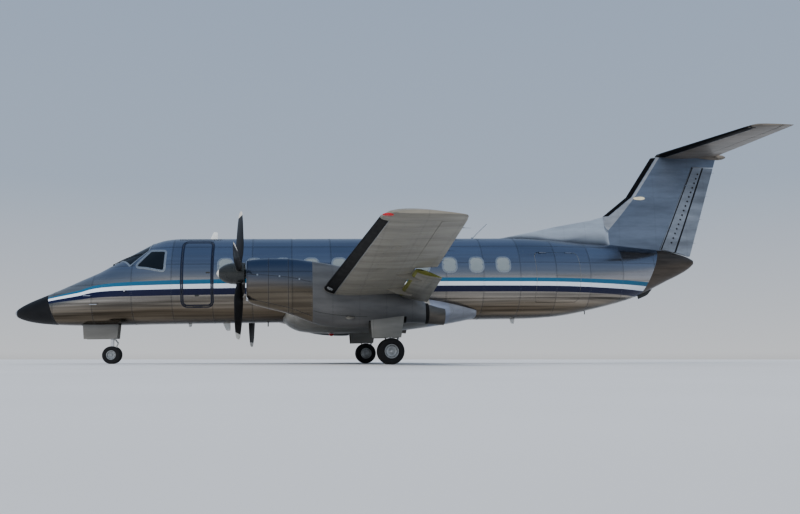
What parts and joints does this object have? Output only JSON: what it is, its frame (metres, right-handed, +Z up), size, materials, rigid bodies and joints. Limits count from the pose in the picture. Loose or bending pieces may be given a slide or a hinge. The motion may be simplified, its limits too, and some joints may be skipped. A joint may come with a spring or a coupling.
{
  "type": "twin turboprop airliner",
  "caption": "Low-wing twin turboprop commuter airliner with a T tail, standing on its wheels, bare metal and grey paint.",
  "frame": {"origin": "on the ground, midway along the length and the span", "axes": "+X aft, towards the tail; +Y to starboard; +Z up from the ground. The nose points along -X and the fuselage stands 1.2 degrees nose down."},
  "size_m": [19.9044, 19.78, 6.1897],
  "materials": {
    "polished_metal": "polished bare sheet with riveted seams",
    "grey_paint": "satin grey",
    "fin_metal": "dulled bare sheet",
    "black_radome": "satin black over a moulded shell",
    "cockpit_glass": "dark, gloss",
    "tail_metal": "dark bare sheet",
    "exhaust_metal": "heat browned",
    "blade_black": "satin black",
    "spinner_grey": "dark grey gloss",
    "gear_paint": "light grey gloss",
    "rim_metal": "cast and machined",
    "tyre_rubber": "matte"
  },
  "bodies": {
    "airframe": {"radome": "black_radome", "nose_section": "polished_metal", "forward_cabin": "polished_metal", "cabin_section": "polished_metal", "rear_fuselage": "polished_metal", "tail_cone": "tail_metal", "belly_fairing": "grey_paint", "windscreen_left": "cockpit_glass", "windscreen_right": "cockpit_glass", "side_window_left": "cockpit_glass", "side_window_right": "cockpit_glass", "wing_left": "polished_metal", "wing_right": "polished_metal", "flap_inboard_left": "grey_paint", "flap_inboard_right": "grey_paint", "flap_outboard_left": "grey_paint", "flap_outboard_right": "grey_paint", "cowl_left": "polished_metal", "cowl_right": "polished_metal", "engine_left": "exhaust_metal", "engine_right": "exhaust_metal", "gear_bay_left": "grey_paint", "gear_bay_right": "grey_paint", "exhaust_left": "exhaust_metal", "exhaust_right": "exhaust_metal", "fin": "fin_metal", "dorsal_fin": "grey_paint", "tailplane": "polished_metal", "nose_leg": "gear_paint", "nose_door_left": "grey_paint", "nose_door_right": "grey_paint", "main_leg_left": "gear_paint", "main_left_door_left": "grey_paint", "main_left_door_right": "grey_paint", "main_leg_right": "gear_paint", "main_right_door_left": "grey_paint", "main_right_door_right": "grey_paint"},
    "passenger_door": {"passenger_door": "polished_metal"},
    "cargo_door": {"cargo_door": "polished_metal"},
    "propeller_left": {"propeller_left": "blade_black", "spinner_left": "spinner_grey"},
    "propeller_right": {"propeller_right": "blade_black", "spinner_right": "spinner_grey"},
    "aileron_left": {"aileron_left": "polished_metal"},
    "aileron_right": {"aileron_right": "polished_metal"},
    "elevator_left": {"elevator_left": "polished_metal"},
    "elevator_right": {"elevator_right": "polished_metal"},
    "rudder_forward": {"rudder_forward": "fin_metal"},
    "rudder_aft": {"rudder_aft": "fin_metal"},
    "nose_fork": {"nose_fork": "gear_paint"},
    "nose_wheels": {"nose_rims": "rim_metal", "nose_tyre_left": "tyre_rubber", "nose_tyre_right": "tyre_rubber"},
    "main_wheels_left": {"main_left_rims": "rim_metal", "main_left_tyre_left": "tyre_rubber", "main_left_tyre_right": "tyre_rubber"},
    "main_wheels_right": {"main_right_rims": "rim_metal", "main_right_tyre_left": "tyre_rubber", "main_right_tyre_right": "tyre_rubber"}
  },
  "joints": [
    {"name": "propeller_left_spin", "type": "hinge", "parent": "airframe", "child": "propeller_left", "pos_m": [-4.047, -3.29, 2.0962], "axis": [0.9998, 0, 0.0209], "continuous": true},
    {"name": "propeller_right_spin", "type": "hinge", "parent": "airframe", "child": "propeller_right", "pos_m": [-4.047, 3.29, 2.0962], "axis": [0.9998, 0, 0.0209], "continuous": true},
    {"name": "nose_steering", "type": "hinge", "parent": "airframe", "child": "nose_fork", "pos_m": [-7.4897, 0, 0.7538], "axis": [-0.0209, 0, 0.9998], "range_deg": [-50, 50]},
    {"name": "nose_wheels_roll", "type": "hinge", "parent": "nose_fork", "child": "nose_wheels", "pos_m": [-7.4787, 0, 0.2289], "axis": [0, 1, 0], "continuous": true},
    {"name": "main_wheels_left_roll", "type": "hinge", "parent": "airframe", "child": "main_wheels_left", "pos_m": [-0.5087, -3.29, 0.3049], "axis": [0, 1, 0], "continuous": true},
    {"name": "main_wheels_right_roll", "type": "hinge", "parent": "airframe", "child": "main_wheels_right", "pos_m": [-0.5087, 3.29, 0.3049], "axis": [0, 1, 0], "continuous": true},
    {"name": "aileron_left_hinge", "type": "hinge", "parent": "airframe", "child": "aileron_left", "pos_m": [-0.392, -7.895, 2.2235], "axis": [-0.0078, 0.9935, -0.1134], "range_deg": [-20, 20]},
    {"name": "aileron_right_hinge", "type": "hinge", "parent": "airframe", "child": "aileron_right", "pos_m": [-0.392, 7.895, 2.2235], "axis": [0.0078, 0.9935, 0.1134], "range_deg": [-20, 20]},
    {"name": "elevator_left_hinge", "type": "hinge", "parent": "airframe", "child": "elevator_left", "pos_m": [9.3572, -1.795, 6.1078], "axis": [-0.1669, 0.986, -0.0035], "range_deg": [-25, 15]},
    {"name": "elevator_right_hinge", "type": "hinge", "parent": "airframe", "child": "elevator_right", "pos_m": [9.3572, 1.795, 6.1078], "axis": [0.1669, 0.986, 0.0035], "range_deg": [-25, 15]},
    {"name": "rudder_forward_hinge", "type": "hinge", "parent": "airframe", "child": "rudder_forward", "pos_m": [8.3155, 0, 4.4957], "axis": [0.4014, 0, 0.9159], "range_deg": [-20, 20]},
    {"name": "rudder_aft_hinge", "type": "hinge", "parent": "rudder_forward", "child": "rudder_aft", "pos_m": [8.6991, 0, 4.4437], "axis": [0.3559, 0, 0.9345], "range_deg": [-20, 20]},
    {"name": "passenger_door_hinge", "type": "hinge", "parent": "airframe", "child": "passenger_door", "pos_m": [-5.2292, -0.876, 1.4713], "axis": [0.9998, 0, 0.0209], "range_deg": [0, 130]},
    {"name": "cargo_door_hinge", "type": "hinge", "parent": "airframe", "child": "cargo_door", "pos_m": [4.3389, -0.8725, 3.0321], "axis": [-0.9901, -0.1392, -0.0207], "range_deg": [0, 100]}
  ],
  "couplings": [
    {"joint": "rudder_aft_hinge", "follows": "rudder_forward_hinge", "ratio": 1},
    {"joint": "elevator_right_hinge", "follows": "elevator_left_hinge", "ratio": 1},
    {"joint": "aileron_right_hinge", "follows": "aileron_left_hinge", "ratio": -1}
  ]
}
